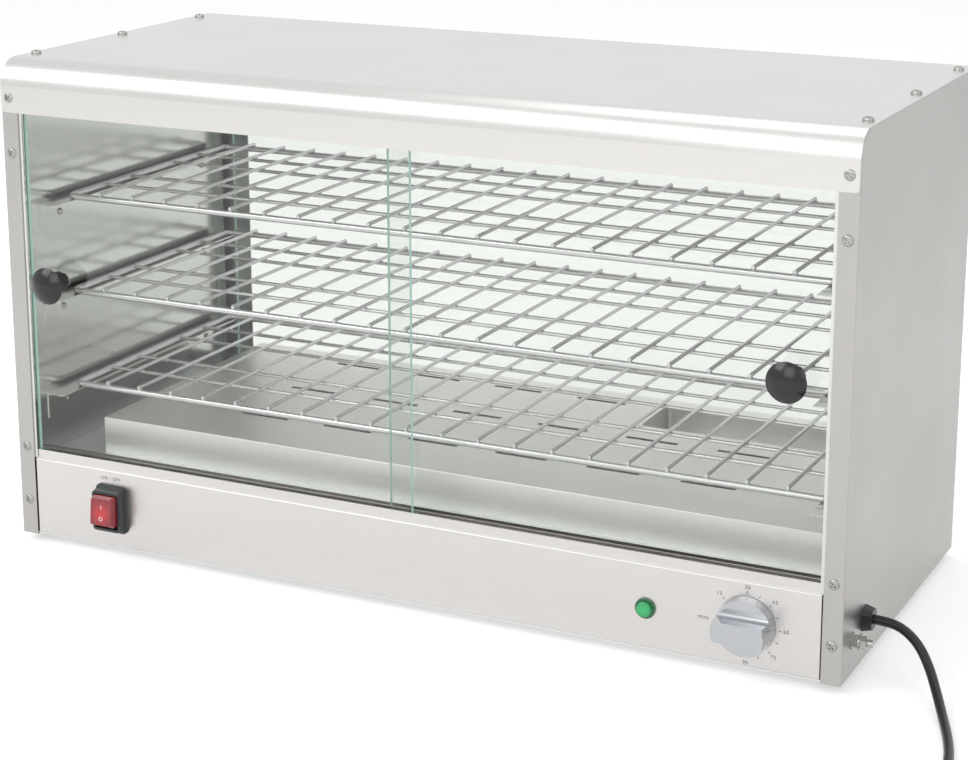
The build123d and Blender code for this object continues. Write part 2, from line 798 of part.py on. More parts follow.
def thermostat_body():
    """The thermostat behind the dial, with its fixing plate and the bore of its spindle."""
    w, d, h = thermostat_size
    plate_w, plate_d, plate_h = thermostat_plate
    x = (dial_x - plate_w / 2, dial_x + plate_w / 2)
    body = block(x, (panel_back, panel_back + plate_d), (dial_z - plate_h / 2, dial_z + plate_h / 2))
    x = (dial_x - w / 2, dial_x + w / 2)
    body += block(x, (panel_back + plate_d, panel_back + plate_d + d), (dial_z - h / 2, dial_z + h / 2))
    bore = rod((dial_x, panel_back - 1, dial_z), (0, 1, 0), spindle_radius + thread_fit, 17)
    for x_screw in (dial_x - thermostat_screw_x, dial_x + thermostat_screw_x):
        body -= rod((x_screw, panel_back - 1, dial_z), (0, 1, 0), small_screw_radius + thread_fit, 9)
    for x_tab in (-8, 8):
        body += block(
            (dial_x + x_tab - 3, dial_x + x_tab + 3),
            (panel_back + plate_d + d, panel_back + plate_d + d + 8),
            (dial_z - 10, dial_z - 9.2),
        )
    return body - bore


def dial_spindle():
    """The thermostat's shaft, which the dial is pressed on."""
    front = panel_face - dial_gap - dial_depth / 2 + 1
    return rod((dial_x, front, dial_z), (0, 1, 0), spindle_radius, panel_back + 14 - front)


def thermostat_screws():
    """Two small screws that hold the thermostat, hidden behind the dial."""
    screws = [
        pan_screw((x, panel_face, dial_z), (0, 1, 0), 8, small_screw_radius, small_head_radius, 1.6)
        for x in (dial_x - thermostat_screw_x, dial_x + thermostat_screw_x)
    ]
    return Compound(screws)


def capillary_bulb():
    """The thermostat's feeler and the thin tube that leads to it from below the floor."""
    bulb = rod((bulb_x, bulb_y, bulb_z), (1, 0, 0), bulb_radius, bulb_length)
    bulb = fillet(bulb.edges().filter_by(GeomType.CIRCLE), 1.5)
    low = dial_z + capillary_start[1]
    start_x = dial_x + capillary_start[0]
    slope_start = capillary_hole_x + floor_low - low
    slope_end = slope_start - (bulb_z - low)
    points = [(start_x, thermostat_back, low), (start_x, thermostat_back + capillary_run, low),
              (slope_start + capillary_straight, bulb_y, low), (slope_start, bulb_y, low),
              (slope_end, bulb_y, bulb_z), (bulb_x + bulb_length - 1, bulb_y, bulb_z)]
    return bulb + bent_tube(points, capillary_bends, capillary_radius)


def bulb_clips():
    """Two saddles that hold the feeler just above the floor plate."""
    clips = []
    for x in (bulb_x + 15, bulb_x + bulb_length - 25):
        foot = block((x, x + 10), (bulb_y - 14, bulb_y + 14), (floor_top, floor_top + 1.5))
        post = block((x, x + 10), (bulb_y - 6, bulb_y + 6), (floor_top, bulb_z + 6))
        hole = rod((x - 1, bulb_y, bulb_z), (1, 0, 0), bulb_radius + element_fit, 12)
        clips.append(foot + post - hole)
    return Compound(clips)


def terminal_block():
    """The three-way terminal block on the bottom plate."""
    x = body_width - terminal_right_gap - terminal_length
    y = (terminal_front, terminal_front + terminal_width)
    body = block((x, x + terminal_length), y, (pan_top, pan_top + terminal_height))
    pitch = terminal_length / 3
    for i in range(3):
        for y_bore in (y[0] + 6, y[1] - 6):
            place = (x + pitch * (i + 0.5), y_bore, pan_top + terminal_height - 8)
            body -= rod(place, (0, 0, 1), terminal_bore, 9)
    return body


def cable_gland():
    """The cord grip in the right side: a rounded head outside and a neck through the skin."""
    x = body_width
    outer = Plane(origin=(x, gland_y, gland_z), x_dir=(0, 1, 0), z_dir=(1, 0, 0))
    head = loft([
        outer * RectangleRounded(*gland_head, gland_round),
        outer.offset(gland_reach) * RectangleRounded(gland_head[0] - 4, gland_head[1] - 4, gland_round - 1.5),
    ])
    neck = rod((x - gland_inner, gland_y, gland_z), (1, 0, 0), gland_neck_radius, gland_inner)
    shoulder = rod((x - skin - 4, gland_y, gland_z), (1, 0, 0), gland_neck_radius + 2, 4)
    bore = rod((x - gland_inner - 1, gland_y, gland_z), (1, 0, 0), cord_radius, gland_inner + 1)
    return head + neck + shoulder - bore


def right_fittings_holes():
    """The openings in the right side for the cord grip and the earth stud."""
    holes = rod((body_width - 3, gland_y, gland_z), (1, 0, 0), gland_neck_radius + play, 6)
    return holes + rod((body_width - 3, stud_y, stud_z), (1, 0, 0), stud_radius + play, 6)


def earth_stud():
    """The bonding stud, a hexagon bolt put through the side from inside."""
    x_in = body_width - skin
    head = hex_prism((x_in - 4, stud_y, stud_z), (1, 0, 0), nut_across_flats, 4)
    return head + rod((x_in, stud_y, stud_z), (1, 0, 0), stud_radius, stud_reach + skin)


def earth_nuts():
    """Two washers and two nuts on the bonding stud."""
    stack = []
    x = body_width
    for _ in range(2):
        stack.append(rod((x, stud_y, stud_z), (1, 0, 0), washer_radius, washer_thick))
        x += washer_thick
        stack.append(hex_prism((x, stud_y, stud_z), (1, 0, 0), nut_across_flats, nut_height))
        x += nut_height
    bore = rod((body_width - 1, stud_y, stud_z), (1, 0, 0), stud_radius + thread_fit, stud_reach + 2)
    return Compound([piece - bore for piece in stack])


def feet():
    """Four rubber feet, each with a hole for its screw."""
    pieces = []
    height = bottom + skin
    for x, y in foot_places:
        foot = Cone(foot_tip_radius, foot_radius, height, align=upright)
        foot -= Pos(0, 0, 2) * Cylinder(screw_radius + thread_fit, height, align=upright)
        pieces.append(Pos(x, y, 0) * foot)
    return Compound(pieces)


def foot_screws():
    """The screws that hold the feet, put in from inside the base."""
    return Compound([pan_screw((x, y, pan_top), (0, 0, -1), foot_screw_length) for x, y in foot_places])


def mirrored_screws(screws):
    """Screws of the left side and their mirror images, as one group."""
    return Compound(screws + [mirror(screw, about=mirror_plane) for screw in screws])


def front_screws():
    """Eight screws down the pillars. The top ones sit on the header."""
    screws = []
    for x, y, z in front_places:
        seat = 0 if z > header_bottom else skin
        screws.append(pan_screw((x, seat, z), (0, 1, 0)))
    return mirrored_screws(screws)


def top_screws():
    """Six screws along the sides of the top."""
    return mirrored_screws([pan_screw(place, (0, 0, -1)) for place in top_places])


def rear_screws():
    """Screws through the rear posts and the top's rear flange."""
    screws = []
    for x, y, z in rear_places:
        seat = rear if z > top - rear_flange else rear - skin
        screws.append(pan_screw((x, seat, z), (0, -1, 0), rear_screw_length))
    return mirrored_screws(screws)


def base_screws():
    """Screws that hold the bottom plate to the side rims from below."""
    return mirrored_screws([pan_screw(place, (0, 0, 1), rear_screw_length - 1) for place in pan_screw_places])


def runner_screws():
    """Small screws that hold the six runners to the liners."""
    size = (small_screw_length, small_screw_radius, small_head_radius, small_head_height)
    screws = [pan_screw(place, (-1, 0, 0), *size) for place in runner_screw_places()]
    return mirrored_screws(screws)


# The lead's route from the cord grip to the coil. The points are placed by hand, and each x is
# a distance out from the cabinet's right side.
lead_offsets = [
    (gland_reach, gland_y, gland_z),
    (22, 61, 45),
    (36, 57.5, 41.5),
    (50, 49, 34),
    (62.5, 35, 22.5),
    (74, 15, 11.5),
    (85.5, -10, 5),
    (96.5, -38, cord_radius),
    (105.5, -66, cord_radius),
    (110.5, -91, cord_radius),
    (111.5, -116, cord_radius),
    (111.5, -136, cord_radius),
]
lead_route = [(body_width + x, y, z) for x, y, z in lead_offsets]
coil_lead_in = cord_diameter
coil_start = (lead_route[-1][0], lead_route[-1][1] - coil_lead_in, cord_radius)


def arc_radii(points):
    """The arc at each inner point: 0.45 of the shorter run over the tangent of half the turn."""
    radii = []
    for a, b, c in zip(points, points[1:], points[2:]):
        first = Vector(*b) - Vector(*a)
        second = Vector(*c) - Vector(*b)
        turn = math.radians(first.get_angle(second))
        radii.append(0.45 * min(first.length, second.length) / math.tan(turn / 2))
    return radii


def power_cord():
    """The free stretch of the lead, from the cord grip to the coil."""
    radii = arc_radii(lead_route)
    print("lead arc radii", [round(r, 1) for r in radii])
    return bent_tube(lead_route, radii, cord_radius)


def coil_turns():
    """Start, middle and end of each half turn of the coil: in on the floor, then out on top."""
    half_turns = 2 * coil_turns_per_layer
    step = coil_pitch / 2
    inward = [coil_inner_radius + step * i for i in reversed(range(half_turns))]
    outward = [coil_inner_radius + step * (i + 1) for i in range(half_turns)]
    place = Vector(*coil_start)
    ahead = Vector(0, -1, 0)
    across = Vector(1, 0, 0)
    turns = []
    for i, radius in enumerate(inward + outward):
        climb = coil_pitch if i == half_turns - 1 else 0
        flat = math.sqrt(4 * radius ** 2 - climb ** 2)
        end = place + across * flat + Vector(0, 0, climb)
        middle = (place + end) * 0.5 + ahead * radius
        turns.append((place, middle, end))
        place = end
        ahead = ahead * -1
        across = across * -1
    return turns


def cord_coil():
    """The rest of the lead, wound flat in two layers as one unbroken tube."""
    turns = coil_turns()
    ahead = Vector(0, -1, 0)
    edges = [Line(turns[0][0] - ahead * coil_lead_in, turns[0][0])]
    edges += [ThreePointArc(*turn) for turn in turns]
    edges.append(Line(turns[-1][2], turns[-1][2] + ahead * coil_lead_in))
    path = Wire(edges)
    print("coil length", round(path.length), "least gap", round(coil_gap(edges), 2))
    return swept_tube(path, cord_radius)


def coil_gap(edges):
    """The least gap between stretches of the coil that are more than a half turn apart."""
    spots = []
    along = 0
    for edge in edges:
        count = max(2, int(edge.length / 3))
        for i in range(count):
            spots.append((along + edge.length * i / count, edge @ (i / count)))
        along += edge.length
    apart = math.pi * coil_inner_radius / 2
    nearest = min((a - b).length for i, (s, a) in enumerate(spots)
                  for t, b in spots[i + 1:] if t - s > apart)
    return nearest - cord_diameter


def mains_plug():
    """A moulded plug with a tapered sleeve and three flat pins, lying on the floor."""
    x, y, z = coil_start[0], coil_start[1] - coil_lead_in, cord_radius + coil_pitch
    mouth = Plane(origin=(x, y, z), x_dir=(1, 0, 0), z_dir=(0, -1, 0))
    sleeve = loft([mouth * Circle(cord_radius + 0.1), mouth.offset(plug_sleeve) * Circle(cord_radius + 3)])
    back = mouth.offset(plug_sleeve)
    shoulder = loft([
        back * RectangleRounded(0.6 * plug_width, 0.7 * plug_height, 6),
        back.offset(plug_length / 2) * RectangleRounded(plug_width, plug_height, 8),
    ])
    face = back.offset(plug_length / 2)
    body = face * extrude(RectangleRounded(plug_width, plug_height, 8), plug_length / 2)
    front = back.offset(plug_length)
    pins = []
    for place_x, place_z, turn in ((0, -6, 0), (-7, 4, 30), (7, 4, -30)):
        pin = Pos(place_x, place_z, 0) * Rot(0, 0, turn) * Box(
            plug_pin[0], plug_pin[1], plug_pin[2], align=upright
        )
        pins.append(front * pin)
    return sleeve + shoulder + body + pins


os.makedirs("parts", exist_ok=True)

left_side, right_side = both_sides(side_panel())
save("side_panel_left", left_side)
save("side_panel_right", right_side - right_fittings_holes())
left_liner, right_liner = both_sides(side_liner())
save("side_liner_left", left_liner)
save("side_liner_right", right_liner)
save("top_panel", top_panel())
save("base_pan", base_pan())
save("floor_plate", floor_plate())
save("control_panel", control_panel())
save("door_track_bottom", door_track(floor_top, bottom_lip, True))
save("door_track_top", door_track(track_top_low + top_lip - track_sheet, top_lip, False))
save("back_channel_bottom", back_channel(floor_top, rear_lip, True))
save("back_channel_top", back_channel(top - skin - liner_skin, rear_lip + 4, False))
save("back_glass", back_glass())

left_knob_x = left_door_x + knob_inset
right_knob_x = right_door_x + door_width - knob_inset
for side, x, y, knob_x in (
    ("left", left_door_x, front_glass_y, left_knob_x),
    ("right", right_door_x, rear_glass_y, right_knob_x),
):
    save(f"{side}_door_glass", door_glass(x, y, knob_x))
    save(f"{side}_door_knob", door_knob(knob_x, y))
    save(f"{side}_knob_screw", knob_screw(knob_x, y))

for name, level in zip(rack_names, rack_levels):
    left_runner, right_runner = both_sides(runner(level))
    save(f"runner_{name}_left", left_runner)
    save(f"runner_{name}_right", right_runner)
    save(f"rack_{name}", rack(level))

save("element_cover", element_cover())
save("water_tray", water_tray())
save("heating_element", heating_element())
save("element_bushes", element_bushes())
save("element_brackets", element_brackets())
save("lamp_body", lamp_body())
save("lamp_lens", lamp_lens())
save("lamp_nut", lamp_nut_ring())
save("switch_body", switch_body())
save("switch_boot", switch_boot())
save("switch_rocker", switch_rocker())
save("dial_knob", dial_knob())
save("dial_spindle", dial_spindle())
save("thermostat_body", thermostat_body())
save("thermostat_screws", thermostat_screws())
save("capillary_bulb", capillary_bulb())
save("bulb_clips", bulb_clips())
save("terminal_block", terminal_block())
save("cable_gland", cable_gland())
save("earth_stud", earth_stud())
save("earth_nuts", earth_nuts())
save("feet", feet())
save("foot_screws", foot_screws())
save("front_screws", front_screws())
save("top_screws", top_screws())
save("rear_screws", rear_screws())
save("base_screws", base_screws())
save("runner_screws", runner_screws())
save("power_cord", power_cord())
save("cord_coil", cord_coil())
save("mains_plug", mains_plug())
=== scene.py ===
import bmesh
import bpy
import math
from mathutils import Matrix, Vector


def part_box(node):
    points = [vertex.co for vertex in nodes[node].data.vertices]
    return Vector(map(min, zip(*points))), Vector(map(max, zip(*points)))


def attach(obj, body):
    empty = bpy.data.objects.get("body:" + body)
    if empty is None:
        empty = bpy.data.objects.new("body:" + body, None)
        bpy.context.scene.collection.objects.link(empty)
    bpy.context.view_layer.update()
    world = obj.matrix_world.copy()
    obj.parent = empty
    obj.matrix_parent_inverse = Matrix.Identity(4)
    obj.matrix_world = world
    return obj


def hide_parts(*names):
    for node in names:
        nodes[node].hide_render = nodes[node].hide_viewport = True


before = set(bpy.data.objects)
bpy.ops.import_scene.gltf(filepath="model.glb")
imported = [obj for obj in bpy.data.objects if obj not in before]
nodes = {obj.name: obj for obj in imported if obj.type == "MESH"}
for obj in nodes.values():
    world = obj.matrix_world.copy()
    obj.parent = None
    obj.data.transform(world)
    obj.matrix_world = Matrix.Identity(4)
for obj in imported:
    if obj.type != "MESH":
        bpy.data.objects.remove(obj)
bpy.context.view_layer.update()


# The outer skin: 1.2 mm stainless sheet, folded on a brake, with the top rolled over at the front. It is
# ground to a satin grain along each sheet, a soft wide gleam drawn out across the grain. The sides get a
# darker base colour than the top and the panel of the same sheet: painted shade on the sides.
def linear(code):
    """An sRGB hex colour as linear values with alpha."""
    parts = [int(code[i:i + 2], 16) / 255 for i in (0, 2, 4)]
    return [c / 12.92 if c <= 0.04045 else ((c + 0.055) / 1.055) ** 2.4 for c in parts] + [1]


def add_node(tree, kind, inputs=None, **settings):
    """Adds a shader node with its own settings. An input takes a value or another node's output."""
    node = tree.nodes.new(kind)
    for key, value in settings.items():
        setattr(node, key, value)
    for key, value in (inputs or {}).items():
        if isinstance(value, bpy.types.NodeSocket):
            tree.links.new(value, node.inputs[key])
        else:
            node.inputs[key].default_value = value
    return node


def new_finish(name, **sockets):
    """A material with one Principled shader. Returns the material, its node tree and the shader."""
    material = bpy.data.materials.new(name)
    material.use_nodes = True
    shader = material.node_tree.nodes["Principled BSDF"]
    for key, value in sockets.items():
        shader.inputs[key.replace("_", " ")].default_value = value
    return material, material.node_tree, shader


def toned(tree, pattern, code, share):
    """The colour, darkened by up to share where the pattern is low."""
    tone = add_node(tree, "ShaderNodeMapRange", {
        "Value": pattern, "From Min": 0.3, "From Max": 0.7, "To Min": 1 - share, "To Max": 1.0})
    mix = add_node(tree, "ShaderNodeMix", data_type="RGBA", blend_type="MULTIPLY")
    mix.inputs["Factor"].default_value = 1.0
    mix.inputs["A"].default_value = linear(code)
    tree.links.new(tone.outputs["Result"], mix.inputs["B"])
    return mix.outputs["Result"]


def satin_stainless(name, code, roughness, grain_axis, share=0.05):
    """Stainless sheet with the lines that grinding leaves, and wide patches dulled by handling."""
    material, tree, shader = new_finish(name, Metallic=1.0)
    line_pitch = 0.0004     # real lines are about 0.05 mm apart, which would not show
    line_length = 0.04
    line_depth = 0.00002
    patch = 0.11
    stretch = [1 / line_pitch] * 3
    stretch[grain_axis] = 1 / line_length
    where = add_node(tree, "ShaderNodeTexCoord").outputs["Object"]
    scaled = add_node(tree, "ShaderNodeVectorMath", {0: where, 1: stretch}, operation="MULTIPLY")
    lines = add_node(tree, "ShaderNodeTexNoise", {"Vector": scaled.outputs[0], "Scale": 1.0, "Detail": 2.0})
    patches = add_node(tree, "ShaderNodeTexNoise", {"Vector": where, "Scale": 1 / patch, "Detail": 3.0})
    tree.links.new(toned(tree, lines.outputs["Fac"], code, share), shader.inputs["Base Color"])
    rough = add_node(tree, "ShaderNodeMapRange", {
        "Value": patches.outputs["Fac"], "From Min": 0.3, "From Max": 0.7,
        "To Min": roughness * 0.9, "To Max": roughness * 1.1})
    tree.links.new(rough.outputs["Result"], shader.inputs["Roughness"])
    bump = add_node(tree, "ShaderNodeBump", {
        "Height": lines.outputs["Fac"], "Strength": 0.2, "Distance": line_depth})
    tree.links.new(bump.outputs["Normal"], shader.inputs["Normal"])
    return material


def paint(material, *names):
    """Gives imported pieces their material."""
    for name in names:
        for slot in nodes[name].material_slots:
            slot.material = material


# The sides' darker base colour is painted shade; the sheet is the same as on the top and the panel.
side_skin_painted_shade = satin_stainless("satin_stainless_side_painted_shade", "b4b2b0", 0.36, grain_axis=2)
top_skin = satin_stainless("satin_stainless_top", "d5d3d1", 0.3, grain_axis=0)
panel_skin = satin_stainless("satin_stainless_panel", "d2cfcd", 0.32, grain_axis=0)
paint(side_skin_painted_shade, "side_panel_left", "side_panel_right")
paint(top_skin, "top_panel")
paint(panel_skin, "control_panel", "door_track_bottom", "door_track_top")

# The inner box: 1 mm stainless left bright from the mill, spot welded at its corners, with folded runners
# that carry the racks. It is near a mirror and shows the racks as soft streaks.
inner_skin = satin_stainless("bright_stainless_liner", "cdcecb", 0.16, grain_axis=1, share=0.03)
paint(inner_skin, "side_liner_left", "side_liner_right", "back_channel_bottom", "back_channel_top")
paint(inner_skin, *[f"runner_{n}_{s}" for n in ("bottom", "middle", "top") for s in ("left", "right")])

# The floor of the bay and what stands on it: plain mill-finish stainless, pressed and folded, laid in and
# lifted out for cleaning. It is duller than the walls and shows only broad light and shade.
floor_skin = satin_stainless("mill_stainless_floor", "dcdedf", 0.42, grain_axis=0)
# The cover, tray, brackets and clips take a lighter base colour than the floor plate of the same mill sheet:
# painted light.
cover_skin_painted_light = satin_stainless("mill_stainless_cover_painted_light", "eeedea", 0.42, grain_axis=0)
paint(floor_skin, "floor_plate", "base_pan")
paint(cover_skin_painted_light, "element_cover", "water_tray", "element_brackets", "bulb_clips")


# The heater below the cover: a steel-sheathed element browned by its own heat, held in turned brass
# collars, with the thermostat's copper feeler and a white nylon terminal block beside it
def grained(name, code, roughness, grain, relief, share=0.06, **sockets):
    """A moulded, cast or plated surface: grain is the size of its spots, and relief their height."""
    material, tree, shader = new_finish(name, Roughness=roughness, **sockets)
    where = add_node(tree, "ShaderNodeTexCoord").outputs["Object"]
    noise = add_node(tree, "ShaderNodeTexNoise", {"Vector": where, "Scale": 1 / grain, "Detail": 3.0})
    tree.links.new(toned(tree, noise.outputs["Fac"], code, share), shader.inputs["Base Color"])
    bump = add_node(tree, "ShaderNodeBump", {
        "Height": noise.outputs["Fac"], "Strength": 0.3, "Distance": relief})
    tree.links.new(bump.outputs["Normal"], shader.inputs["Normal"])
    return material


browned_sheath = grained("heat_browned_element_sheath", "6a6058", 0.42, 0.004, 0.00002,
                         share=0.25, Metallic=1.0)
turned_brass = grained("turned_brass", "b8995e", 0.25, 0.0008, 0.00001, Metallic=1.0)
drawn_copper = grained("drawn_copper_tube", "b87450", 0.3, 0.001, 0.00001, Metallic=1.0)
terminal_nylon = grained("white_terminal_nylon", "dedbd2", 0.5, 0.0006, 0.00002)
paint(browned_sheath, "heating_element")
paint(turned_brass, "element_bushes")
paint(drawn_copper, "capillary_bulb")
paint(terminal_nylon, "terminal_block")


# The racks: steel wire, welded and then chrome plated, so each wire shows a thin bright line. A ring of
# 6 mm wire is bent round, four 3.5 mm wires run inside it, and twenty more cross on top, each spot welded
# where it touches.
def piece_from(name, objects, material):
    """Joins modelled objects into one named piece with its place in its mesh."""
    bpy.ops.object.select_all(action="DESELECT")
    for item in objects:
        item.select_set(True)
    bpy.context.view_layer.objects.active = objects[0]
    if len(objects) > 1:
        bpy.ops.object.join()
    bpy.ops.object.transform_apply(location=True, rotation=True, scale=True)
    piece = bpy.context.object
    piece.name = name
    piece.data.name = name
    piece.data.materials.clear()
    piece.data.materials.append(material)
    bpy.ops.object.shade_smooth_by_angle(angle=math.radians(40))
    return piece


def finished(modifier, **settings):
    """Adds a modifier to the active object, sets it and applies it."""
    item = bpy.context.object.modifiers.new(modifier.lower(), modifier)
    for key, value in settings.items():
        setattr(item, key, value)
    bpy.ops.object.modifier_apply(modifier=item.name)


def round_bar(radius, length, place, turn=(0, 0, 0), sides=12, edge=0.0006):
    """A round bar about its middle with its two end rims rounded over."""
    bpy.ops.object.select_all(action="DESELECT")
    bpy.ops.mesh.primitive_cylinder_add(
        vertices=sides, radius=radius, depth=length, location=place, rotation=turn)
    finished("BEVEL", width=edge, segments=2, limit_method="ANGLE", angle_limit=math.radians(60))
    return bpy.context.object


wire_chrome = grained("bright_chromed_wire", "dadada", 0.22, 0.002, 0.000004, share=0.04, Metallic=0.7)
ring_wire = 0.003
thin_wire = 0.00175
ring_length = 0.738
ring_width = 0.268
ring_corner = 0.008
cross_count = 20
cross_pitch = ring_length / (cross_count + 1)
cross_lift = ring_wire + thin_wire
long_wires = (-0.080, -0.037, 0.037, 0.080)
rack_level = 0.144
rack_step = 0.0905
weld_spread = (1.5, 1.3, 0.5)
rack_low, rack_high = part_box("rack_bottom")
rack_middle = (rack_low + rack_high) / 2
rack_x, rack_y = rack_middle.x, rack_middle.y
quarter = math.pi / 2

bpy.ops.object.select_all(action="DESELECT")
bpy.ops.mesh.primitive_plane_add(size=1, location=(rack_x, rack_y, rack_level))
ring = bpy.context.object
bpy.ops.object.mode_set(mode="EDIT")
bpy.ops.transform.resize(value=(ring_length, ring_width, 1), center_override=(rack_x, rack_y, rack_level))
bpy.ops.mesh.select_all(action="SELECT")
bpy.ops.mesh.bevel(offset=ring_corner, segments=6, affect="VERTICES")
bpy.ops.mesh.delete(type="ONLY_FACE")
bpy.ops.object.mode_set(mode="OBJECT")
bpy.ops.object.convert(target="CURVE")
ring = bpy.context.object
ring.data.bevel_depth = ring_wire
ring.data.bevel_resolution = 3
bpy.ops.object.convert(target="MESH")
rack_wires = [bpy.context.object]
for reach in long_wires:
    place = (rack_x, rack_y + reach, rack_level + ring_wire - thin_wire)
    rack_wires.append(round_bar(thin_wire, ring_length - 2 * ring_wire, place, (0, quarter, 0)))
first_x = rack_x - ring_length / 2 + cross_pitch
place = (first_x, rack_y, rack_level + cross_lift)
rack_wires.append(round_bar(thin_wire, ring_width + 2 * thin_wire, place, (quarter, 0, 0)))
finished("ARRAY", count=cross_count, use_relative_offset=False, use_constant_offset=True,
         constant_offset_displace=(cross_pitch, 0, 0))
for reach in (-ring_width / 2, *long_wires, ring_width / 2):
    bpy.ops.object.select_all(action="DESELECT")
    bpy.ops.mesh.primitive_ico_sphere_add(
        subdivisions=2, radius=thin_wire, location=(first_x, rack_y + reach, rack_level + ring_wire))
    bpy.ops.transform.resize(value=weld_spread)
    bpy.ops.object.transform_apply(location=False, rotation=False, scale=True)
    finished("ARRAY", count=cross_count, use_relative_offset=False, use_constant_offset=True,
             constant_offset_displace=(cross_pitch, 0, 0))
    rack_wires.append(bpy.context.object)
racks = [piece_from("wire_rack_bottom", rack_wires, wire_chrome)]
for step, level in enumerate(("middle", "top"), 1):
    copy = racks[0].copy()
    copy.data = racks[0].data.copy()
    copy.name = copy.data.name = f"wire_rack_{level}"
    copy.data.transform(Matrix.Translation((0, 0, rack_step * step)))
    bpy.context.collection.objects.link(copy)
    racks.append(copy)
for piece, level in zip(racks, ("bottom", "middle", "top")):
    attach(piece, f"{level}_rack")
    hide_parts(f"rack_{level}")


# The element cover: a folded tray of thin stainless with three rows of punched slots, 5 mm wide and
# 50 mm long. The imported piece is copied, its bends are shaded round, and the slots are opened to their
# full width.
slot_size = (0.050, 0.0052, 0.008)
slot_pitch = (0.0885, 0.091)
slots_in_row = (6, 6, 4)
first_slot_in = (0.13475, 0.068)
cover_low, cover_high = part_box("element_cover")
first_slot = (cover_low.x + first_slot_in[0], cover_low.y + first_slot_in[1], cover_high.z)
bpy.ops.object.select_all(action="DESELECT")
cover = bpy.data.objects.new("slotted_cover", nodes["element_cover"].data.copy())
bpy.context.collection.objects.link(cover)
cover.select_set(True)
bpy.context.view_layer.objects.active = cover
bpy.ops.object.mode_set(mode="EDIT")
bpy.ops.mesh.select_all(action="SELECT")
bpy.ops.mesh.remove_doubles(threshold=0.00001)
bpy.ops.object.mode_set(mode="OBJECT")
for row, columns in enumerate(slots_in_row):
    bpy.ops.object.select_all(action="DESELECT")
    place = (first_slot[0], first_slot[1] + slot_pitch[1] * row, first_slot[2])
    bpy.ops.mesh.primitive_cube_add(size=1, location=place)
    bpy.ops.transform.resize(value=slot_size)
    bpy.ops.object.transform_apply(location=False, rotation=False, scale=True)
    finished("ARRAY", count=columns, use_relative_offset=False, use_constant_offset=True,
             constant_offset_displace=(slot_pitch[0], 0, 0))
    punch = bpy.context.object
    bpy.context.view_layer.objects.active = cover
    finished("BOOLEAN", operation="DIFFERENCE", object=punch)
    bpy.data.objects.remove(punch)
cover = piece_from("slotted_cover", [cover], cover_skin_painted_light)
finished("WEIGHTED_NORMAL", keep_sharp=True)
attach(cover, "cabinet")
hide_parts("element_cover")


# The glass: 5 mm toughened float panes with ground edges, two that slide in front and one fixed behind.
# Face on a pane is clear with a mirror sheen, and its ground edges show the green of the iron in it, with a
# painted glow of light.
def float_glass(name, edge_axis):
    """Green on the two edges across edge_axis with a painted glow in them, clear elsewhere, with a sheen
    where light enters the pane.
    """
    material, tree, shader = new_finish(name, Roughness=0.12, Base_Color=linear("a6cabf"), IOR=1.52)
    # The edges' faint emission is painted light, standing in for the light a pane gathers in its edges.
    shader.inputs["Emission Color"].default_value = linear("a9d6c8")
    shader.inputs["Emission Strength"].default_value = 0.2
    through = add_node(tree, "ShaderNodeBsdfTransparent", {"Color": linear("f8f9f8")})
    sheen = add_node(tree, "ShaderNodeBsdfGlossy", {"Color": linear("ffffff"), "Roughness": 0.0})
    fresnel = add_node(tree, "ShaderNodeFresnel", {"IOR": 1.55})
    leaving = add_node(tree, "ShaderNodeNewGeometry").outputs["Backfacing"]
    entering = add_node(tree, "ShaderNodeMath", {0: 1.0, 1: leaving}, operation="SUBTRACT")
    share = add_node(tree, "ShaderNodeMath", {
        0: fresnel.outputs[0], 1: entering.outputs[0]}, operation="MULTIPLY")
    face = add_node(tree, "ShaderNodeMixShader", {
        0: share.outputs[0], 1: through.outputs[0], 2: sheen.outputs[0]})
    normal = add_node(tree, "ShaderNodeTexCoord").outputs["Normal"]
    parts = add_node(tree, "ShaderNodeSeparateXYZ", {0: normal})
    size = add_node(tree, "ShaderNodeMath", {0: parts.outputs[edge_axis]}, operation="ABSOLUTE")
    is_edge = add_node(tree, "ShaderNodeMath", {0: size.outputs[0], 1: 0.9}, operation="GREATER_THAN")
    both = add_node(tree, "ShaderNodeMixShader", {
        0: is_edge.outputs[0], 1: face.outputs[0], 2: shader.outputs[0]})
    tree.links.new(both.outputs[0], tree.nodes["Material Output"].inputs["Surface"])
    return material


paint(float_glass("clear_float_glass_painted_edge_glow", 0), "left_door_glass", "right_door_glass", "back_glass")

# The door knobs: moulded black phenolic, buffed to a deep gloss with a small round highlight. Each is held
# by a screw through the pane from behind.
knob_black = grained("polished_black_phenolic", "1a1a1c", 0.2, 0.0012, 0.000006, share=0.1)
paint(knob_black, "left_door_knob", "right_door_knob")


# The screws: steel pan heads with a pressed cross, plated in bright zinc that turns grey where it looks
# away from the light. One head is modelled and copied to every place.
def separate_solids(name):
    """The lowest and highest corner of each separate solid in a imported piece, in a fixed order."""
    shape = bmesh.new()
    shape.from_mesh(nodes[name].data)
    bmesh.ops.remove_doubles(shape, verts=shape.verts, dist=0.000001)
    left = set(shape.verts)
    boxes = []
    while left:
        ahead = [left.pop()]
        places = []
        while ahead:
            vertex = ahead.pop()
            places.append(vertex.co.copy())
            for edge in vertex.link_edges:
                other = edge.other_vert(vertex)
                if other in left:
                    left.remove(other)
                    ahead.append(other)
        low = Vector([min(p[i] for p in places) for i in range(3)])
        high = Vector([max(p[i] for p in places) for i in range(3)])
        boxes.append((low, high))
    shape.free()
    return sorted(boxes, key=lambda pair: [round(v, 4) for v in pair[0]])


screw_finish = grained("bright_zinc_screw", "a6a6a4", 0.16, 0.0006, 0.000008, Metallic=1.0)
head_radius = 0.00475
head_height = 0.0028
head_rounding = 0.0019
shank_radius = 0.0024
cross_length = 0.0054
cross_width = 0.0011
cross_depth = 0.0013

